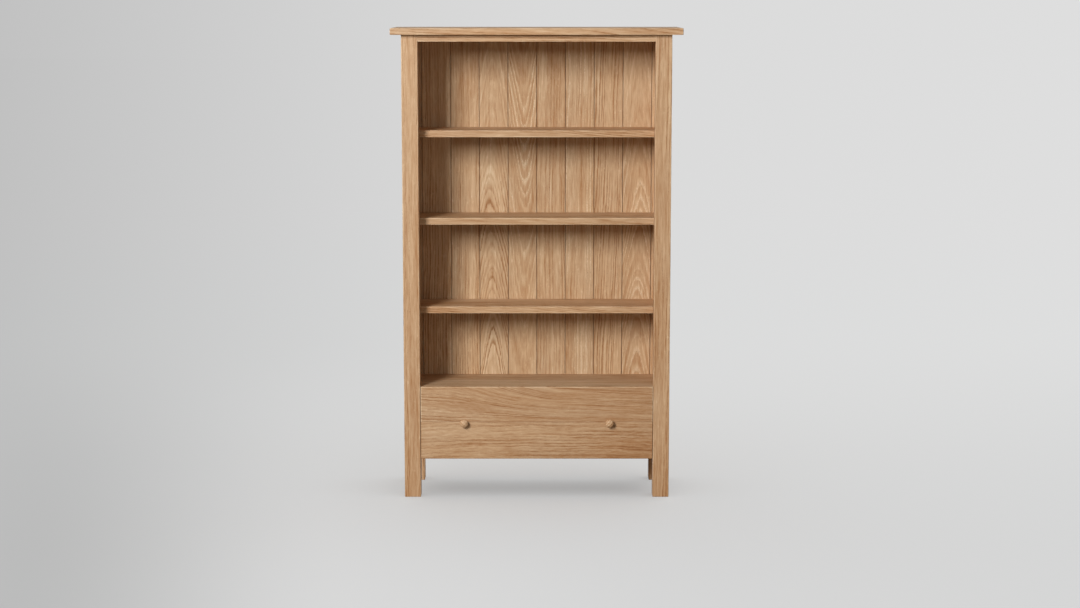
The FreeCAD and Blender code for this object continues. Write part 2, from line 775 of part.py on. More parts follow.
drill(
    drawer_bottom,
    "+z",
    [(x, f"{BACK_FRONT} - {SIDE_FRONT} + drawer_back_thickness / 2") for x in BOTTOM_SCREW_X],
    "screw_diameter + 2 * hole_gap",
    "0",
    "drawer_bottom_thickness",
)

# A turned knob: a waisted neck, a rounded rim and a low dome, bored from behind.
for side_name, side in SIDES.items():
    place = (f"{side} * knob_spacing / 2", FRONT, f"leg_height + {FRONT_HEIGHT} / 2")
    knob = new_body(f"{side_name}_knob", place)
    bore = "screw_diameter / 2 + hole_gap"
    bore_end = "-(knob_bite + bore_end_gap)"
    rim = "(knob_diameter / 2 - knob_rim_round)"
    dome_edge = "(knob_projection - knob_dome_rise)"
    rim_curve = "(knob_rim_height^2 / 4 + knob_rim_round^2) / (2 * knob_rim_round)"
    dome_curve = f"({rim}^2 + knob_dome_rise^2) / (2 * knob_dome_rise)"
    turned(
        knob,
        [
            (bore, "0"),
            ("knob_foot_radius", "0", "knob_neck_curve", "left"),
            (rim, f"knob_rim_height - {dome_edge}", rim_curve, "right"),
            (rim, f"-{dome_edge}", dome_curve, "right"),
            ("0", "-knob_projection"),
            ("0", bore_end),
            (bore, bore_end),
        ],
    )

# ---- the fasteners ----------------------------------------------------------------------

pin = new_body("pin_pattern", ("0", "0", "0"))
pin_edge = "(pin_diameter / 2 - pin_chamfer)"
turned(
    pin,
    [
        ("0", "0"),
        (pin_edge, "0"),
        ("pin_diameter / 2", "pin_chamfer"),
        ("pin_diameter / 2", "pin_length - pin_chamfer"),
        (pin_edge, "pin_length"),
        ("0", "pin_length"),
    ],
)
PIN_TIP = f"({INNER_HALF} + pin_hole_depth - bore_end_gap - pin_length)"
group(
    "shelf_pins",
    pin,
    [
        ("+x" if side > 0 else "-x", (f"{side} * {PIN_TIP}", y, pin_height(shelf_top)))
        for shelf_top in SHELF_TOPS.values()
        for y in PIN_ROWS
        for side in SIDES.values()
    ],
)
screws(
    "top_screws",
    "(top_screw_grip + top_screw_bite)",
    [
        ("+z", (x, y, f"{TOP_UNDERSIDE} - top_screw_grip"))
        for y in TOP_SCREW_Y
        for x in TOP_SCREW_X
    ],
)
RAIL_MIDDLES = [f"({RAILS[name][1]} + rear_rail_height / 2)" for name in RAILS if "rear" in name]
screws(
    "back_screws",
    f"(rail_thickness - {HEAD_SEAT} + back_screw_bite)",
    [
        ("-y", (x, f"{REAR_POST_FRONT} + rail_thickness - {HEAD_SEAT}", z))
        for z in RAIL_MIDDLES
        for x in BOARD_MIDDLES
    ],
)
strip_screws = {
    "runner_screws": ("runner_width", "(leg_height + lower_rail_height / 2)"),
    "guide_screws": (GUIDE_WIDTH, f"({RUNNER_TOP} + guide_height / 2)"),
}
for label, (width, z) in strip_screws.items():
    screws(
        label,
        f"({width} - {HEAD_SEAT} + side_screw_bite)",
        [
            (
                "+x" if side > 0 else "-x",
                (f"{side} * ({INNER_HALF} - {width} + {HEAD_SEAT})", y, z),
            )
            for side in SIDES.values()
            for y in STRIP_SCREW_Y
        ],
    )
screws(
    "stop_screws",
    f"(stop_height - {HEAD_SEAT} + stop_screw_bite)",
    [
        (
            "+z",
            (
                x,
                f"{STOP_FRONT} + stop_depth / 2",
                f"{BOTTOM_SHELF_UNDERSIDE} - stop_height + {HEAD_SEAT}",
            ),
        )
        for x in STOP_SCREW_X
    ],
)
screws(
    "drawer_bottom_screws",
    "(drawer_bottom_thickness + bottom_screw_bite)",
    [
        (
            "+z",
            (x, f"{BACK_FRONT} + drawer_back_thickness / 2", f"{BOX_BOTTOM} + drawer_bottom_rise"),
        )
        for x in BOTTOM_SCREW_X
    ],
)
screws(
    "knob_screws",
    "(drawer_front_thickness + knob_bite)",
    [("-y", (x, BOX_FRONT, f"leg_height + {FRONT_HEIGHT} / 2")) for x in KNOB_X],
)

# ---- checks and export ------------------------------------------------------------------

doc.recompute()
for item in doc.Objects:
    if "Invalid" in item.State or "Error" in item.State:
        raise SystemExit(f"{item.Name} failed: {item.State}")
for node in nodes:
    if node.Shape.isNull() or not node.Shape.isValid():
        raise SystemExit(f"{node.Label} has no valid shape")
os.makedirs("parts", exist_ok=True)
for node in nodes:
    node.Shape.exportStep(f"parts/{node.Label}.step")
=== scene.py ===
import math

import bpy
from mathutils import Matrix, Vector


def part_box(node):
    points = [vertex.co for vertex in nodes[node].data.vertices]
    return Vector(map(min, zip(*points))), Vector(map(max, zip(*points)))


# An oak bookcase with one wide drawer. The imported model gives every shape; this script gives each
# board its own wood, and adds the floor, the lamps and the camera. Metres, +Z up, front to -Y.

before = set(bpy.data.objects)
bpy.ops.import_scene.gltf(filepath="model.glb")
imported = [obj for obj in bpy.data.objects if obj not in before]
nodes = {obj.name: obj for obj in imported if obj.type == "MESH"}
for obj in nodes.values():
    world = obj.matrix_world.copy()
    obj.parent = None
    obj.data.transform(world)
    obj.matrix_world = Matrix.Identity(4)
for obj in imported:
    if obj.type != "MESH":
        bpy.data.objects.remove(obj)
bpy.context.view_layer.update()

AXES = {"x": 0, "y": 1, "z": 2}

# ---- camera -------------------------------------------------------------------------------

CAMERA_PLACE = Vector((0.0126, -8.247, 1.914))
CAMERA_DOWN = 0.1425  # radians below level
IMAGE_WIDTH = 1080
FOCAL_PIXELS = 2137
SENSOR_WIDTH = 36

camera = bpy.data.objects.new("camera", bpy.data.cameras.new("camera"))
camera.location = CAMERA_PLACE
camera.rotation_euler = (math.pi / 2 - CAMERA_DOWN, 0, 0)
camera.data.sensor_width = SENSOR_WIDTH
camera.data.lens = SENSOR_WIDTH * FOCAL_PIXELS / IMAGE_WIDTH
bpy.context.scene.collection.objects.link(camera)
bpy.context.scene.camera = camera
bpy.context.scene.view_settings.view_transform = "Standard"

# ---- shader nodes -------------------------------------------------------------------------


def linear(red, green, blue):
    """The scene's own colour for an sRGB colour given as 0 to 255."""

    def one(level):
        share = level / 255
        return share / 12.92 if share < 0.04045 else ((share + 0.055) / 1.055) ** 2.4

    return (one(red), one(green), one(blue), 1)


class Shader:
    """Adds nodes to one material, world or group. What it's given is a socket or a number."""

    def __init__(self, tree):
        self.tree = tree

    def give(self, socket, given):
        if isinstance(given, bpy.types.NodeSocket):
            self.tree.links.new(given, socket)
        else:
            socket.default_value = given

    def node(self, kind, values=None, **settings):
        made = self.tree.nodes.new(kind)
        for name, setting in settings.items():
            setattr(made, name, setting)
        for name, given in (values or {}).items():
            self.give(made.inputs[name], given)
        return made

    def math(self, operation, *given):
        return self.node("ShaderNodeMath", dict(enumerate(given)), operation=operation).outputs[0]

    def add(self, *given):
        total = given[0]
        for one in given[1:]:
            total = self.math("ADD", total, one)
        return total

    def less(self, first, second):
        return self.math("SUBTRACT", first, second)

    def times(self, *given):
        total = given[0]
        for one in given[1:]:
            total = self.math("MULTIPLY", total, one)
        return total

    def vector(self, operation, *given, output="Vector"):
        made = self.node("ShaderNodeVectorMath", dict(enumerate(given)), operation=operation)
        return made.outputs[output]

    def split(self, vector):
        return self.node("ShaderNodeSeparateXYZ", {0: vector}).outputs

    def join(self, x, y, z):
        return self.node("ShaderNodeCombineXYZ", {0: x, 1: y, 2: z}).outputs[0]

    def noise(self, vector, detail=2, roughness=0.5, output=0):
        """Noise from 0 to 1 with one lump per unit of the vector."""
        values = {"Vector": vector, "Scale": 1, "Detail": detail, "Roughness": roughness}
        return self.node("ShaderNodeTexNoise", values).outputs[output]

    def lumps(self, place, per_metre, detail=2, roughness=0.5):
        """Noise from 0 to 1 with so many lumps a metre along each axis."""
        return self.noise(self.vector("MULTIPLY", place, per_metre), detail, roughness)

    def grain(self, place, across, along, amount=1.0, detail=2, roughness=0.5):
        """Noise about 0 with so many lumps a metre, stretched along the wood."""
        noise = self.lumps(place, (across, across, along), detail, roughness)
        return self.times(self.less(noise, 0.5), amount)

    def chance(self, vector):
        """Three random numbers from 0 to 1 for each different vector."""
        return self.split(self.node("ShaderNodeTexWhiteNoise", {"Vector": vector}).outputs["Color"])

    def span(self, given, low, high, start=0.0, end=1.0, smooth=True):
        """Takes low to high onto start to end, and holds the ends."""
        kind = "SMOOTHSTEP" if smooth else "LINEAR"
        values = {0: given, 1: low, 2: high, 3: start, 4: end}
        return self.node("ShaderNodeMapRange", values, interpolation_type=kind).outputs[0]

    def ramp(self, given, stops):
        made = self.node("ShaderNodeValToRGB", {0: given})
        elements = made.color_ramp.elements
        while len(elements) < len(stops):
            elements.new(0)
        for element, (place, colour) in zip(elements, stops):
            element.position = place
            element.color = colour
        return made.outputs[0]

    def mix(self, share, first, second, blend="MIX"):
        made = self.node("ShaderNodeMix", data_type="RGBA", blend_type=blend)
        for number, given in ((0, share), (6, first), (7, second)):
            self.give(made.inputs[number], given)
        return made.outputs[2]

    def mix_numbers(self, share, first, second):
        values = {0: share, 2: first, 3: second}
        return self.node("ShaderNodeMix", values, data_type="FLOAT").outputs[0]


def new_group(name, inputs, outputs):
    """An empty node group: its shader, the sockets that come in, and those that it fills."""
    tree = bpy.data.node_groups.new(name, "ShaderNodeTree")
    for socket_name, default in inputs.items():
        kind = "NodeSocketVector" if default is None else "NodeSocketFloat"
        socket = tree.interface.new_socket(socket_name, in_out="INPUT", socket_type=kind)
        if default is not None:
            socket.default_value = default
    for socket_name in outputs:
        tree.interface.new_socket(socket_name, in_out="OUTPUT", socket_type="NodeSocketFloat")
    shader = Shader(tree)
    return shader, shader.node("NodeGroupInput").outputs, shader.node("NodeGroupOutput").inputs


def new_material(name):
    material = bpy.data.materials.new(name)
    material.use_nodes = True
    return material, Shader(material.node_tree), material.node_tree.nodes["Principled BSDF"].inputs


def paint(node, material):
    """Gives a CAD node one material all over."""
    slots = nodes[node].data.materials
    slots.clear()
    slots.append(material)


# ---- wood ---------------------------------------------------------------------------------

WOOD_INPUTS = {
    "Place": None,  # from the board's centre: X across it, Y through it, Z along it
    "Half": None,  # half the board's size, the same way
    "Pith X": 0.0,  # how far across it the middle of the tree is, from the board's centre
    "Pith Y": 0.06,  # and how far through it
    "Lean": 0.0,  # how far the rings step out for each metre along the board
    "Ring": 0.008,  # how thick one year's wood is
    "Bend": 0.05,  # how far the trunk bends
    "Slant": 0.0,  # how far the fibres cross the board for each metre along it
    "Wave": 0.006,  # how far they swing from side to side
    "Gather": 0.0,  # how far they draw together towards the board's far end
    "Waist": 0.0,  # and the line across it that they draw towards
    "Early": 0.4,  # how much darker the band at the start of each year is, or paler below 0
    "Fade": 0.0,  # how fast the bands fade up the board, or down it below 0
    "Short": 1.0,  # how much shorter than usual the streaks are
    "Broad": 0.5,  # how strong the bands several years wide are
    "Streaks": 1.0,  # how strong all streaks are
    "Base": 0.36,  # how dark the board is, from 0 to 1
    "Drift": 0.0,  # how much darker it gets for each metre along it
    "Tilt": 0.0,  # and for each metre across it
    "Stave": 10.0,  # how wide the boards are that it is glued from
    "Shift": 0.0,  # how far their joints are shifted
    "Shuffle": 0.0,  # 1 where each of them is from another tree
    "Seed": 0.0,  # what makes its figure its own
    "End": 0.0,  # 1 on end grain
    "End Tone": 0.3,  # how much darker the end grain is
    # the edge input below: edges paler as worn wood and as a painted highlight, or darker below 0 as
    # painted shade
    "Rubbed": 0.24,  # how much paler the edges are, or darker below 0
}
WOOD_OUTPUTS = ("Tone", "Pores", "Height", "Hue")

# how far staves differ: in their piths, their places along the tree, their tones and their seeds
STAVE_PITH = 0.2
STAVE_ALONG = 3.0
STAVE_TONE = 0.3
STAVE_SEED = 0.61

# the fibres' way along the board, and the rings', in bends a metre
SWINGS_ACROSS = 5.0
SWINGS_ALONG = 3.0
GATHERED = {"low": -0.35, "high": 0.15}  # where along the board the fibres draw together
BENDS_ACROSS = 1.1
BENDS_ALONG = 1.5
SEED_ACROSS = 5.3  # and how far one seed moves on to other bends
SEED_ALONG = 2.9
RIPPLE = {"across": 24.0, "along": 5.0, "amount": 0.009, "detail": 3, "roughness": 0.6}
FRAY = {"across": 420.0, "along": 16.0, "amount": 0.006, "roughness": 0.6}

# years: some are thicker than others, and each starts with a porous band
UNEVEN_PER_YEAR = 0.21
UNEVEN_YEARS = 3.0
EARLY_RISE = {"low": 0.0, "high": 0.1}
EARLY_FALL = {"low": 0.6, "high": 0.15}
STRENGTHS = {"per_year": 0.43, "shift": 5.0, "per_metre": 1.6}
STRENGTH = {"low": 0.34, "high": 0.68, "start": 0.1, "end": 1.15}
FADE_START = 0.1  # how far above the board's centre its bands begin to fade
FADED = {"low": 0.0, "high": 1.0, "start": 1.0, "end": 0.15}

# bands that follow the rings, then streaks that follow the fibres, in lumps a metre
WIDE_BANDS = {"per_year": 0.2, "shift": 9.0, "per_metre": 0.9}
BANDS = {"per_year": 1.1, "shift": 3.0, "per_metre": 2.2, "detail": 3, "roughness": 0.65}
BAND_SHARE = 0.8
FINE = {"across": 800.0, "along": 22.0, "roughness": 0.7}
FINE_SHARE = 0.2
STREAKS = (
    {"across": 130.0, "along": 2.2, "amount": 0.4},
    {"across": 170.0, "along": 10.0, "amount": 0.5},
    {"across": 300.0, "along": 24.0, "amount": 0.65, "roughness": 0.6},
)
CLOUDS = {"across": 5.0, "along": 2.0, "amount": 0.3}
HUES = {"across": 9.0, "along": 1.6, "amount": 2.0}

# pores, rays, and edges made paler as worn wood and as a painted highlight
PORES_PER_METRE = (2300.0, 2300.0, 120.0)
PORE_LIMIT = {"low": 0.0, "high": 0.8, "start": 0.72, "end": 0.57}
PORE_EDGE = 0.06
RAYS_PER_METRE = (90.0, 1100.0, 55.0)
RAY = {"low": 0.67, "high": 0.74}
RAY_PALER = 0.12
EDGE_PATCHES = {"across": 50.0, "along": 14.0}
EDGE_PATCH_SHARE = {"low": -0.15, "high": 0.1, "start": 0.35, "end": 1.0}
WORN_AND_LIT_EDGE = {"low": 0.004, "high": 0.001}  # metres from the nearest edge
WORN_SHALLOWER = 0.6  # how much of a pore's depth is worn off there
WORN_PALER = 0.5  # and of its colour

# heights, as shares of a pore's depth
FINE_HEIGHT = 0.4
EARLY_DEPTH = 0.25


def wood_group():
    """Solid wood. Rings lie round a pith that runs along the board, beside it or in it, so each
    face shows the cut that such a board has: cathedrals or straight lines, and arcs on its ends.
    """
    s, given, result = new_group("wood", WOOD_INPUTS, WOOD_OUTPUTS)
    x, y, z = s.split(given["Place"])

    # each stave of a glued board has its own pith, lean and length of tree
    from_edge = s.math("DIVIDE", s.add(x, given["Shift"]), given["Stave"])
    stave = s.math("FLOOR", s.add(from_edge, 0.5))
    local_x = s.less(s.add(x, given["Shift"]), s.times(stave, given["Stave"]))
    random = s.chance(s.join(stave, given["Seed"], 0.5))
    shuffle = given["Shuffle"]
    pith_x = s.add(given["Pith X"], s.times(s.less(random[0], 0.5), shuffle, STAVE_PITH))
    lean = s.times(given["Lean"], s.less(1.0, s.times(shuffle, random[1], 2.0)))
    along = s.add(z, s.times(random[2], shuffle, STAVE_ALONG))
    seed = s.add(given["Seed"], s.times(stave, STAVE_SEED))
    length = s.times(along, given["Short"])

    # the fibres' own way along the board
    swing = s.noise(s.join(s.times(local_x, SWINGS_ACROSS), seed, s.times(length, SWINGS_ALONG)))
    gather = s.times(s.less(local_x, given["Waist"]), s.span(z, **GATHERED), given["Gather"])
    swing = s.times(s.less(swing, 0.5), given["Wave"])
    local_x = s.add(local_x, s.times(z, given["Slant"]), swing, gather)
    place = s.join(s.add(local_x, seed), y, s.add(length, seed))

    # the trunk's slow bends, then the rings' own waviness
    slow_x = s.add(s.times(local_x, BENDS_ACROSS), s.times(seed, SEED_ACROSS))
    slow_z = s.add(s.times(along, BENDS_ALONG), s.times(seed, SEED_ALONG))
    bend = s.noise(s.join(slow_x, y, slow_z), 1, output=1)
    bend_x, bend_y, _ = s.split(s.vector("SUBTRACT", bend, (0.5, 0.5, 0.5)))
    aside = s.add(s.less(local_x, pith_x), s.times(bend_x, given["Bend"]))
    behind = s.add(s.less(y, given["Pith Y"]), s.times(bend_y, given["Bend"]))
    radius = s.vector("LENGTH", s.join(aside, behind, 0.0), output="Value")
    ripple = s.grain(place, **RIPPLE)
    fray = s.grain(place, **FRAY)
    radius = s.add(radius, s.times(along, lean), ripple, fray)
    years = s.math("DIVIDE", radius, given["Ring"])
    uneven = s.noise(s.join(s.times(years, UNEVEN_PER_YEAR), seed, 0.0), 1)
    years = s.add(years, s.times(uneven, UNEVEN_YEARS))
    part = s.math("FRACT", years)

    def year_noise(per_year, shift, per_metre, detail=2, roughness=0.5):
        """Noise that changes from year to year, and slowly along the board."""
        point = s.join(s.times(years, per_year), s.add(seed, shift), s.times(length, per_metre))
        return s.noise(point, detail, roughness)

    # a porous band at the start of each year, some years far stronger than others
    early = s.times(s.span(part, **EARLY_RISE), s.span(part, **EARLY_FALL))
    early = s.times(early, s.span(year_noise(**STRENGTHS), **STRENGTH))
    faded = s.span(s.times(s.less(z, FADE_START), given["Fade"]), **FADED, smooth=False)
    early = s.times(early, faded)

    wide = year_noise(**WIDE_BANDS)
    band = year_noise(**BANDS)
    fine = s.grain(place, **FINE)
    streaks = s.add(
        s.times(s.less(wide, 0.5), given["Broad"]),
        s.times(s.less(band, 0.5), BAND_SHARE),
        *(s.grain(place, **streak) for streak in STREAKS),
        s.times(fine, FINE_SHARE),
        s.grain(place, **CLOUDS),
    )
    tone = s.times(early, given["Early"])
    tone = s.add(tone, s.times(streaks, given["Streaks"]), given["Base"])
    tone = s.add(tone, s.times(s.less(random[1], 0.5), shuffle, STAVE_TONE))
    tone = s.add(tone, s.times(z, given["Drift"]), s.times(x, given["Tilt"]))
    tone = s.add(tone, s.times(given["End"], given["End Tone"]))

    # open pores: short dark dashes, thick in the porous bands, round dots on the ends
    pore = s.lumps(place, PORES_PER_METRE, 1)
    limit = s.span(early, **PORE_LIMIT, smooth=False)
    pores = s.span(s.less(pore, limit), 0.0, PORE_EDGE)

    # rays: pale flecks where the face runs along them
    fleck = s.span(s.lumps(place, RAYS_PER_METRE, 1), **RAY)
    tone = s.less(tone, s.times(fleck, RAY_PALER))

    # edges paler, unevenly, partly as worn wood and partly as a painted highlight where they catch
    # the light, or darker as painted shade; the distance to the nearest edge is the middle of the
    # three
    from_middle = s.vector("ABSOLUTE", given["Place"])
    gap_x, gap_y, gap_z = s.split(s.vector("SUBTRACT", given["Half"], from_middle))
    smaller = s.math("MINIMUM", gap_x, gap_y)
    larger = s.math("MAXIMUM", gap_x, gap_y)
    nearest = s.math("MAXIMUM", smaller, s.math("MINIMUM", larger, gap_z))
    edge_patches = s.span(s.grain(place, **EDGE_PATCHES), **EDGE_PATCH_SHARE)
    edge_wear_and_light = s.times(s.span(nearest, **WORN_AND_LIT_EDGE), edge_patches)
    tone = s.less(tone, s.times(edge_wear_and_light, given["Rubbed"]))

    depth = s.times(pores, s.less(1.0, s.times(edge_wear_and_light, WORN_SHALLOWER)))
    height = s.less(s.times(fine, FINE_HEIGHT), depth)
    height = s.less(height, s.times(early, EARLY_DEPTH))
    s.give(result["Tone"], tone)
    s.give(result["Pores"], s.times(pores, s.less(1.0, s.times(edge_wear_and_light, WORN_PALER))))
    s.give(result["Height"], height)
    s.give(result["Hue"], s.add(s.grain(place, **HUES), 0.5))
    return s.tree


WOOD = wood_group()

# A palette's stops go from the palest wood, at tone 0, to the darkest, at tone 1.
OAK = {
    "stops": (
        (0.0, linear(221, 193, 158)),
        (0.28, linear(203, 169, 132)),
        (0.52, linear(188, 150, 112)),
        (0.76, linear(171, 126, 84)),
        (1.0, linear(150, 102, 60)),
    ),
    "pore": linear(120, 74, 38),
}
BEECH = {
    "stops": (
        (0.0, linear(226, 200, 168)),
        (0.4, linear(212, 180, 143)),
        (0.7, linear(196, 160, 122)),
        (1.0, linear(172, 134, 98)),
    ),
    "pore": linear(140, 102, 70),
}
WARM = (1.015, 1.0, 0.965, 1)  # each board's hue wanders between these two
COOL = (0.985, 1.0, 1.015, 1)
CAST = (1.012, 0.995, 1.0)  # a board's colour, against its palette's
BACK_CAST = (0.975, 1.0, 1.02)
PORE_SHARE = 0.7  # how much of a pore's colour shows
PORE_DEPTH = 0.0003
PORE_BUMP = 0.5
SEAM = {"low": 0.001, "high": 0.0004, "start": 0.0, "end": 0.8}  # a dark glue line
# the V-joints between boards are darkened as painted shade, in place of the shade that falls in them
GROOVE_CORE = 0.3  # the share of a groove's width where it's as dark as it gets
GROOVE_SHADE = 0.52  # and how much of the pores' colour shows there
SHEEN = {"low": 0.0, "high": 1.0, "start": 0.48, "end": 0.64}  # the roughness, by tone
SPECULAR = 0.35
END_SHARPNESS = 4.0  # how soon end grain gives way where an edge is rounded


def wood_at(s, place, half, end, values):
    """The wood group's outputs for one board."""
    group = s.node("ShaderNodeGroup", {}, node_tree=WOOD)
    s.give(group.inputs["Place"], place)
    s.give(group.inputs["Half"], half)
    s.give(group.inputs["End"], end)
    for socket, number in values.items():
        group.inputs[socket].default_value = number
    return {name: group.outputs[name] for name in WOOD_OUTPUTS}


def board_place(s, grain, across, centre):
    """Where a point is in its board, and how far its face looks along the grain."""
    through = next(axis for axis in "xyz" if axis not in (grain, across))
    order = [AXES[across], AXES[through], AXES[grain]]
    coordinates = s.node("ShaderNodeTexCoord").outputs
    offset = s.split(s.vector("SUBTRACT", coordinates["Object"], tuple(centre)))
    normal = s.split(coordinates["Normal"])
    end = s.math("POWER", s.math("ABSOLUTE", normal[AXES[grain]]), END_SHARPNESS)
    return order, s.join(*(offset[axis] for axis in order)), end


def wood_material(
    node, grain, across, boards, palette=OAK, tint=1.0, cast=CAST, face=None, groove=None
):
    """Wood for one node. Grain and across are the axes along it and over its face.

    boards holds the wood's values, or two of them and the place across where the second starts.
    face is the visible part's low and high corner, where the node's box isn't that.
    groove is how far from the long edges of that face it is darkened, as painted shade in the
    V-joints.
    """
    material, s, shader = new_material(node)
    low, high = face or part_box(node)
    order, place, end = board_place(s, grain, across, (low + high) / 2)
    half = tuple((high - low)[axis] / 2 for axis in order)
    first, *others = boards
    wood = wood_at(s, place, half, end, first)
    seam = 0.0
    for start, values in others:
        second = wood_at(s, place, half, end, values)
        beyond = s.less(s.split(place)[0], start)
        share = s.math("GREATER_THAN", beyond, 0.0)
        wood = {name: s.mix_numbers(share, wood[name], second[name]) for name in WOOD_OUTPUTS}
        seam = s.span(s.math("ABSOLUTE", beyond), **SEAM)
    colour = s.ramp(wood["Tone"], palette["stops"])
    colour = s.mix(1.0, colour, s.mix(s.span(wood["Hue"], 0.0, 1.0), WARM, COOL), "MULTIPLY")
    colour = s.mix(1.0, colour, (*(tint * share for share in cast), 1), "MULTIPLY")
    colour = s.mix(s.times(wood["Pores"], PORE_SHARE), colour, palette["pore"])
    colour = s.mix(seam, colour, palette["pore"])
    # painted shade along the face's long edges, in the V-joints
    if groove:
        to_edge = s.less(half[0], s.math("ABSOLUTE", s.split(place)[0]))
        dark = s.span(to_edge, groove, groove * GROOVE_CORE, 0.0, GROOVE_SHADE)
        colour = s.mix(dark, colour, palette["pore"])
    s.give(shader["Base Color"], colour)
    s.give(shader["Roughness"], s.span(wood["Tone"], **SHEEN, smooth=False))
    relief = {"Height": wood["Height"], "Strength": PORE_BUMP, "Distance": PORE_DEPTH}
    s.give(shader["Normal"], s.node("ShaderNodeBump", relief).outputs[0])
    shader["Specular IOR Level"].default_value = SPECULAR
    return material


# How each board was cut. The pith is the middle of the tree, seen from the board's own centre.


def straight(side=1, **others):
    """Sawn so that the lines run straight down the face."""
    return {"Pith X": 0.11 * side, "Pith Y": 0.07, "Lean": 0.003 * side, "Bend": 0.03, **others}


def quartered(**others):
    """Sawn along the radius: close straight lines and broad calm bands."""
    return {"Pith X": 0.24, "Pith Y": 0.03, "Early": 0.2, "Bend": 0.02, **others}


def cathedral(aside=0.0, lean=0.08, **others):
    """Sawn flat: arches one above the other, points up, or down where the lean is negative."""
    return {"Pith X": aside, "Pith Y": 0.018, "Lean": lean, "Ring": 0.009, "Bend": 0.035, **others}


def glued(stave, even=True, **others):
    """Narrow boards glued edge to edge. An even number of them has a joint in the middle."""
    shift = stave / 2 if even else 0.0
    cut = {"Pith Y": 0.08, "Lean": 0.03, "Bend": 0.03}
    return {"Stave": stave, "Shift": shift, "Shuffle": 1.0, **cut, **others}


def shelf(**others):
    """Glued from narrow boards, and paler along its edges, as worn wood and as a painted highlight.
    """
    return glued(0.109, Early=0.3, Rubbed=0.45, **others)


def knob(aside, behind):
    """Turned with the grain along its axis, so its face is end grain, no darker than the rest."""
    return {"Pith X": aside, "Pith Y": behind, "Base": 0.34, "End Tone": 0.0}


BACK_JOINT_GAP = 0.0012
# how far painted shade reaches in from each back board's V-joints
BACK_GROOVE_SHADE = 0.0019
BACK_BOARDS = {
    "back_board_01": straight(),
    # paler, so the left post's shadow on it reads lighter: painted light
    "back_board_02": straight(Base=0.26),
    "back_board_03": straight(Base=0.42, Early=0.3, Streaks=0.95, Tilt=1.5),
    "back_board_04": cathedral(-0.008, 0.16, Base=0.37, Early=0.5, Fade=2.6),
    "back_board_05": cathedral(0.006, -0.15, Ring=0.011, Base=0.5, Early=-0.5, Drift=0.15, Fade=-1.2),
    "back_board_06": quartered(Ring=0.012, Base=0.43, Streaks=1.1),
    "back_board_07": straight(-1, Base=0.5, Early=-0.4, Streaks=1.15),
    "back_board_08": straight(-1, Lean=-0.03, Base=0.44, Early=0.4),
    "back_board_09": cathedral(0.006, 0.16, Ring=0.0105, Base=0.5, Early=-0.5, Drift=-0.12, Fade=2.4),
    "back_board_10": straight(),
}

# For each board, the axes along its grain and across its face, and how it was cut.
OTHER_BOARDS = {
    # the front posts' paler edges are partly a painted highlight, where their eased corners catch the
    # light
    "front_left_post": ("z", "x", straight(1, Base=0.45, Early=0.2, Drift=-0.13, Rubbed=0.4)),
    "front_right_post": ("z", "x", straight(-1, Base=0.48, Early=0.2, Drift=-0.13, Rubbed=0.35)),
    "rear_left_post": ("z", "x", straight(-1, Base=0.47)),
    # darker, as it stands in the shadow under the case: painted shade
    "rear_right_post": ("z", "x", straight(1, Base=0.68)),
    "left_side_panel": ("z", "y", glued(0.084, even=False)),
    "right_side_panel": ("z", "y", glued(0.084, even=False)),
    "top_panel": ("x", "y", glued(0.0955, Lean=0.08, Base=0.29)),
    "upper_shelf": ("x", "y", shelf(Lean=0.1, Base=0.44, Tilt=0.6)),
    "middle_shelf": ("x", "y", shelf(Lean=0.12)),
    "lower_shelf": ("x", "y", shelf(Lean=0.12, Base=0.38, Tilt=0.3)),
    "bottom_shelf": ("x", "y", glued(0.13, Early=0.25)),
    "top_front_rail": ("x", "z", straight(1)),
    "lower_front_rail": ("x", "z", straight(1)),
    "top_rear_rail": ("x", "z", straight(-1)),
    "lower_rear_rail": ("x", "z", straight(1)),
    "left_knob": ("y", "x", knob(0.04, 0.05)),
    "right_knob": ("y", "x", knob(-0.05, 0.04)),
}
BOX_BOARDS = {
    "drawer_back": ("x", "z", straight(1)),
    "drawer_left_side": ("y", "z", cathedral(0.02, 0.03)),
    "drawer_right_side": ("y", "z", cathedral(-0.03, -0.03)),
    "left_drawer_runner": ("y", "x", straight(1)),
    "right_drawer_runner": ("y", "x", straight(-1)),
    "left_drawer_guide": ("y", "x", straight(-1)),
    "right_drawer_guide": ("y", "x", straight(1)),
    "drawer_stop": ("x", "y", straight(1)),
}
BEECH_LOOK = {"Early": 0.2, "Streaks": 0.7}  # beech is calmer than oak
TINTS = {  # how light a node is against its palette, where it isn't 1
    # paler, so the left post's shadow on it reads lighter: painted light
    "back_board_02": 1.11,
    "rear_left_post": 1.07,
    "rear_right_post": 1.03,
    "drawer_front": 0.94,
    "upper_shelf": 0.985,
    "middle_shelf": 0.92,
    "bottom_shelf": 0.85,
    "left_side_panel": 1.1,
    "right_side_panel": 1.1,
}
SEED_STEP = 0.37


def seeded(number, values):
    """A board's values, with a seed of its own."""
    return {"Seed": number * SEED_STEP, **values}


def finish_back():
    """The back's boards. A tongue hides in the next board, so a face runs from joint to joint."""
    names = list(BACK_BOARDS)
    for number, node in enumerate(names):
        low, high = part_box(node)
        if number + 1 < len(names):
            high.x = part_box(names[number + 1])[0].x - BACK_JOINT_GAP
        boards = [seeded(number, BACK_BOARDS[node])]
        look = {"tint": TINTS.get(node, 1.0), "cast": BACK_CAST, "groove": BACK_GROOVE_SHADE}
        paint(node, wood_material(node, "z", "x", boards, face=(low, high), **look))


def finish_boards():
    for number, (node, (grain, across, values)) in enumerate(OTHER_BOARDS.items(), len(BACK_BOARDS)):
        boards = [seeded(number, values)]
        paint(node, wood_material(node, grain, across, boards, tint=TINTS.get(node, 1.0)))
    for number, (node, (grain, across, values)) in enumerate(BOX_BOARDS.items()):
        boards = [seeded(number, {**BEECH_LOOK, **values})]
        paint(node, wood_material(node, grain, across, boards, palette=BEECH))


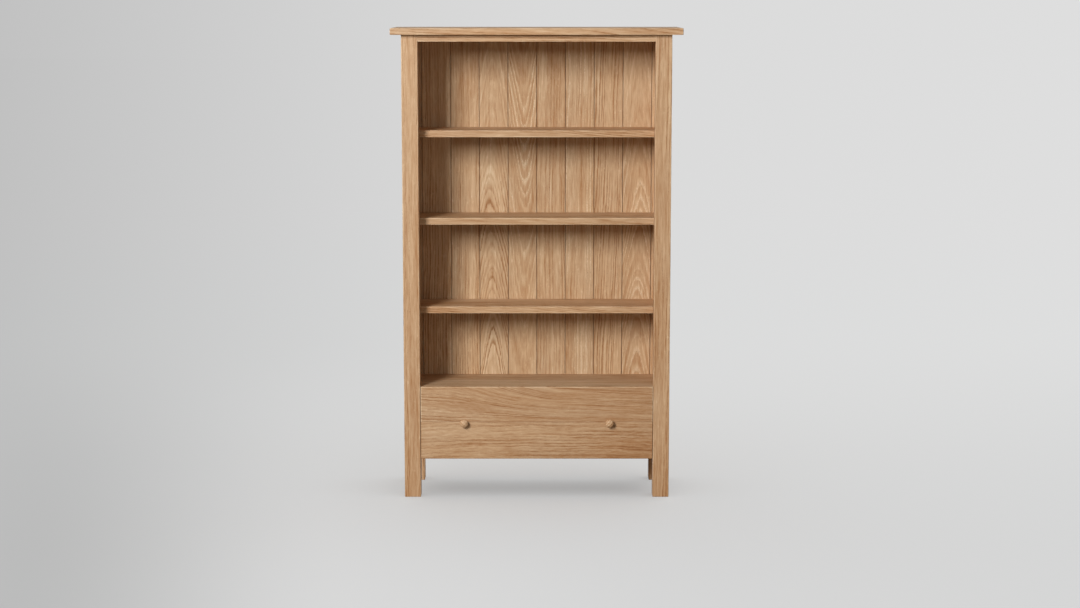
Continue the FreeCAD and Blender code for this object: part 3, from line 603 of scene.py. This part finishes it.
DRAWER_JOINT = 0.296  # how high the glue line is
DRAWER_BOTH = {"Ring": 0.012, "Bend": 0.06, "Short": 1.7}
DRAWER_LOWER = {
    **DRAWER_BOTH,
    "Pith X": 0.25,
    "Wave": 0.02,
    "Early": 0.2,
    "Broad": 0.4,
    "Base": 0.42,
    "Drift": 0.31,
    "Tilt": -1.0,
    # darker edges, the bottom edge most: painted shade
    "Rubbed": -0.2,
}
DRAWER_UPPER = {
    **DRAWER_BOTH,
    "Pith X": -0.2,
    "Slant": 0.06,
    "Wave": 0.018,
    "Gather": 1.2,
    "Waist": 0.03,
    "Early": 0.3,
    "Broad": 0.3,
    "Base": 0.52,
    "Drift": 0.06,
    # paler edges, the top edge most: a painted highlight, as well as worn wood
    "Rubbed": 0.65,
}
LOWER_SEED = 32
UPPER_SEED = 37


def finish_drawer_front():
    """Two wide boards, one above the other."""
    node = "drawer_front"
    low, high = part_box(node)
    joint = DRAWER_JOINT - (low.z + high.z) / 2
    boards = [seeded(LOWER_SEED, DRAWER_LOWER), (joint, seeded(UPPER_SEED, DRAWER_UPPER))]
    paint(node, wood_material(node, "x", "z", boards, tint=TINTS[node]))


PLY_LAYER = 0.0012
PLY_BLUR = 0.1  # how soft the line between two layers is, as a share of one
PLY_EDGE = {"low": 0.7, "high": 0.3}
PLY_DARK = 0.45
PLY_FACE = {
    "Pith Y": 0.03,
    "Lean": 0.02,
    "Ring": 0.011,
    "Early": 0.15,
    "Streaks": 0.6,
    "Base": 0.25,
}
PLY_SEED = 9


def finish_drawer_bottom():
    """Birch plywood: a peeled face with a broad pale figure, and layers that show on the edges."""
    node = "drawer_bottom"
    material = wood_material(node, "x", "y", [seeded(PLY_SEED, PLY_FACE)], palette=BEECH)
    s = Shader(material.node_tree)
    shader = material.node_tree.nodes["Principled BSDF"].inputs
    coordinates = s.node("ShaderNodeTexCoord").outputs
    layer = s.math("PINGPONG", s.split(coordinates["Object"])[2], PLY_LAYER)
    crossing = s.span(layer, PLY_LAYER * (0.5 - PLY_BLUR), PLY_LAYER * (0.5 + PLY_BLUR))
    edge = s.span(s.math("ABSOLUTE", s.split(coordinates["Normal"])[2]), **PLY_EDGE)
    face = shader["Base Color"].links[0].from_socket
    dark = s.mix(PLY_DARK, face, BEECH["pore"])
    s.give(shader["Base Color"], s.mix(s.times(edge, crossing), face, dark))
    paint(node, material)


# ---- steel --------------------------------------------------------------------------------

CLOUDS_PER_METRE = (420.0, 420.0, 420.0)
MARKS_PER_METRE = (900.0, 900.0, 6000.0)
ZINC = (
    (0.3, linear(150, 151, 153)),
    (0.55, linear(186, 186, 184)),
    (0.75, linear(204, 201, 192)),
)
MARKS_SHARE = 0.5
STEEL_ROUGHNESS = {"low": 0.5, "high": 1.0, "start": 0.24, "end": 0.5}
STEEL_RELIEF = {"Strength": 0.3, "Distance": 0.00005}


def steel_material():
    """Zinc-plated steel, clouded, with fine marks and duller patches."""
    material, s, shader = new_material("steel")
    place = s.node("ShaderNodeTexCoord").outputs["Object"]
    cloud = s.lumps(place, CLOUDS_PER_METRE, 3)
    marks = s.lumps(place, MARKS_PER_METRE, 2, 0.7)
    s.give(shader["Base Color"], s.ramp(cloud, ZINC))
    dull = s.span(s.add(cloud, s.times(marks, MARKS_SHARE)), **STEEL_ROUGHNESS)
    s.give(shader["Roughness"], dull)
    s.give(shader["Normal"], s.node("ShaderNodeBump", {"Height": marks, **STEEL_RELIEF}).outputs[0])
    shader["Metallic"].default_value = 1.0
    return material


def finish_steel():
    steel = steel_material()
    for node in nodes:
        if node.endswith("screws") or node == "shelf_pins":
            paint(node, steel)


finish_back()
finish_boards()
finish_drawer_front()
finish_drawer_bottom()
finish_steel()

# ---- light and floor ----------------------------------------------------------------------

SOFTBOX_WIDTH = 2.4
SOFTBOX_HEIGHT = 3.4
SOFTBOX_AIM = Vector((0, 0, 0.95))
KEY_PLACE = Vector((-4.15, -7.8, 4.45))
KEY_POWER = 820
REAR_PLACE = Vector((3.4, 7.6, 1.3))
REAR_POWER = 300
FILL = 0.21
FILL_COLOUR = (0.97, 0.925, 0.845)
FILL_TO_RIGHT = 0.85  # how much more of it comes from the right
FILL_TO_TOP = 0.1  # and from above
FLOOR_SUN = 1.5
FLOOR_SUN_ANGLE = math.radians(100)
FLOOR_ALBEDO = 0.5
FLOOR_BOUNCE = (0.28, 0.25, 0.205)  # the floor's colour as the bookcase gets its light
FLOOR_TINT = (0.92, 1.0, 1.09)  # takes the fill's warmth off the floor
FLOOR_FILL = 0.92  # the share of the fill that the floor gets
MEAN_HEIGHT = 2 / 3  # how high a level floor's fill comes from on average, as a sine
FLOOR_HALF = 60
FLOOR_NEAR = 4.0  # up to here the floor shows its shadows in full
FLOOR_FAR = 11.0  # and from here on none

# How bright the background is seen, by the tangent of the turn from straight ahead.
BACK_STEP = {"low": -0.36, "high": 0.03, "start": 0.533, "end": 0.7}
BACK_SLOPE = {"low": -0.3, "high": 0.3, "start": -0.039, "end": 0.039}
FRONT_STEP = {"low": -0.23, "high": -0.08, "start": 0.505, "end": 0.693}
FRONT_DIP = {"low": -0.05, "high": 0.1, "start": 0.0, "end": -0.021}
FRONT_TO_BACK = {"low": -1.5, "high": 4.0}
FLOOR_VIEW_Y = -8.247  # the floor's turns are measured from here
FLOOR_VIEW_BLUR = 9.0  # and this, in square metres, keeps them small close to it


def seen_rays(s):
    """1 for rays that show the background itself: the camera's, and those in metal or glass."""
    path = s.node("ShaderNodeLightPath").outputs
    seen = s.math("MAXIMUM", path["Is Camera Ray"], path["Is Glossy Ray"])
    return s.math("MAXIMUM", seen, path["Is Transmission Ray"])


def back_level(s, turn):
    """How bright the background is seen: darker to the left, as painted shade."""
    slope = s.span(turn, **BACK_SLOPE, smooth=False)
    return s.add(s.span(turn, **BACK_STEP), slope)


def add_softboxes():
    """Large upright lamps that light the bookcase alone: the key in front, high and to the left,
    and a weaker one behind it, for its back.
    """
    bookcase = bpy.data.collections.new("bookcase")
    for item in nodes.values():
        bookcase.objects.link(item)
    for name, place, power in (("key", KEY_PLACE, KEY_POWER), ("rear", REAR_PLACE, REAR_POWER)):
        lamp = bpy.data.objects.new(name, bpy.data.lights.new(name, "AREA"))
        lamp.data.shape = "RECTANGLE"
        lamp.data.size = SOFTBOX_WIDTH
        lamp.data.size_y = SOFTBOX_HEIGHT
        lamp.data.energy = power
        lamp.location = place
        lamp.rotation_euler = (SOFTBOX_AIM - place).to_track_quat("-Z", "Y").to_euler()
        bpy.context.scene.collection.objects.link(lamp)
        lamp.light_linking.receiver_collection = bookcase


def add_world():
    """A pale room, a little brighter to the right and above."""
    world = bpy.data.worlds.new("studio")
    bpy.context.scene.world = world
    world.use_nodes = True
    s = Shader(world.node_tree)
    background = world.node_tree.nodes["Background"]
    direction = s.split(s.node("ShaderNodeTexCoord").outputs["Generated"])
    fill = s.add(1.0, s.times(direction[0], FILL_TO_RIGHT), s.times(direction[2], FILL_TO_TOP))
    seen = seen_rays(s)
    level = s.mix_numbers(seen, s.times(fill, FILL), back_level(s, direction[0]))
    s.give(background.inputs["Strength"], level)
    s.give(background.inputs["Color"], s.mix(seen, (*FILL_COLOUR, 1), (1, 1, 1, 1)))


def floor_level(s, x, y):
    """How bright the floor is seen, with painted shade to the left. In front, the darker left side
    ends sooner.
    """
    ahead = s.math("POWER", s.less(y, FLOOR_VIEW_Y), 2.0)
    turn = s.math("DIVIDE", x, s.math("SQRT", s.add(ahead, FLOOR_VIEW_BLUR)))
    front = s.add(s.span(turn, **FRONT_STEP), s.span(turn, **FRONT_DIP))
    return s.mix_numbers(s.span(y, **FRONT_TO_BACK), front, back_level(s, turn))


def add_floor():
    """A wide pale floor. What it shows near the bookcase is partly real light, for the shadow."""
    mesh = bpy.data.meshes.new("floor")
    corners = [(x * FLOOR_HALF, y * FLOOR_HALF, 0) for x, y in ((-1, -1), (1, -1), (1, 1), (-1, 1))]
    mesh.from_pydata(corners, [], [(0, 1, 2, 3)])
    floor = bpy.data.objects.new("floor", mesh)
    bpy.context.scene.collection.objects.link(floor)
    material, s, shader = new_material("floor")
    mesh.materials.append(material)
    material.node_tree.nodes.remove(material.node_tree.nodes["Principled BSDF"])
    place = s.node("ShaderNodeNewGeometry").outputs["Position"]
    x, y, _ = s.split(place)
    far = s.span(s.vector("LENGTH", place, output="Value"), FLOOR_NEAR, FLOOR_FAR)
    seen = seen_rays(s)
    real = s.times(s.less(1.0, far), FLOOR_ALBEDO)
    mean_fill = FILL * (1 + FILL_TO_TOP * MEAN_HEIGHT)
    lit = FLOOR_ALBEDO * (FLOOR_SUN / math.pi + mean_fill * FLOOR_FILL)
    glow = s.less(floor_level(s, x, y), s.times(s.less(1.0, far), lit))
    emission = s.node("ShaderNodeEmission", {"Strength": s.times(glow, seen)})
    tinted = s.join(*(s.times(real, tint) for tint in FLOOR_TINT))
    diffuse = s.node("ShaderNodeBsdfDiffuse", {"Color": s.mix(seen, (*FLOOR_BOUNCE, 1), tinted)})
    total = s.node("ShaderNodeAddShader", {0: emission.outputs[0], 1: diffuse.outputs[0]})
    s.give(material.node_tree.nodes["Material Output"].inputs["Surface"], total.outputs[0])

    # a wide lamp above, for the floor alone
    lamp = bpy.data.objects.new("floor_lamp", bpy.data.lights.new("floor_lamp", "SUN"))
    lamp.data.energy = FLOOR_SUN
    lamp.data.color = [1 / tint for tint in FLOOR_TINT]
    lamp.data.angle = FLOOR_SUN_ANGLE
    bpy.context.scene.collection.objects.link(lamp)
    stage = bpy.data.collections.new("stage")
    stage.objects.link(floor)
    lamp.light_linking.receiver_collection = stage


add_softboxes()
add_world()
add_floor()
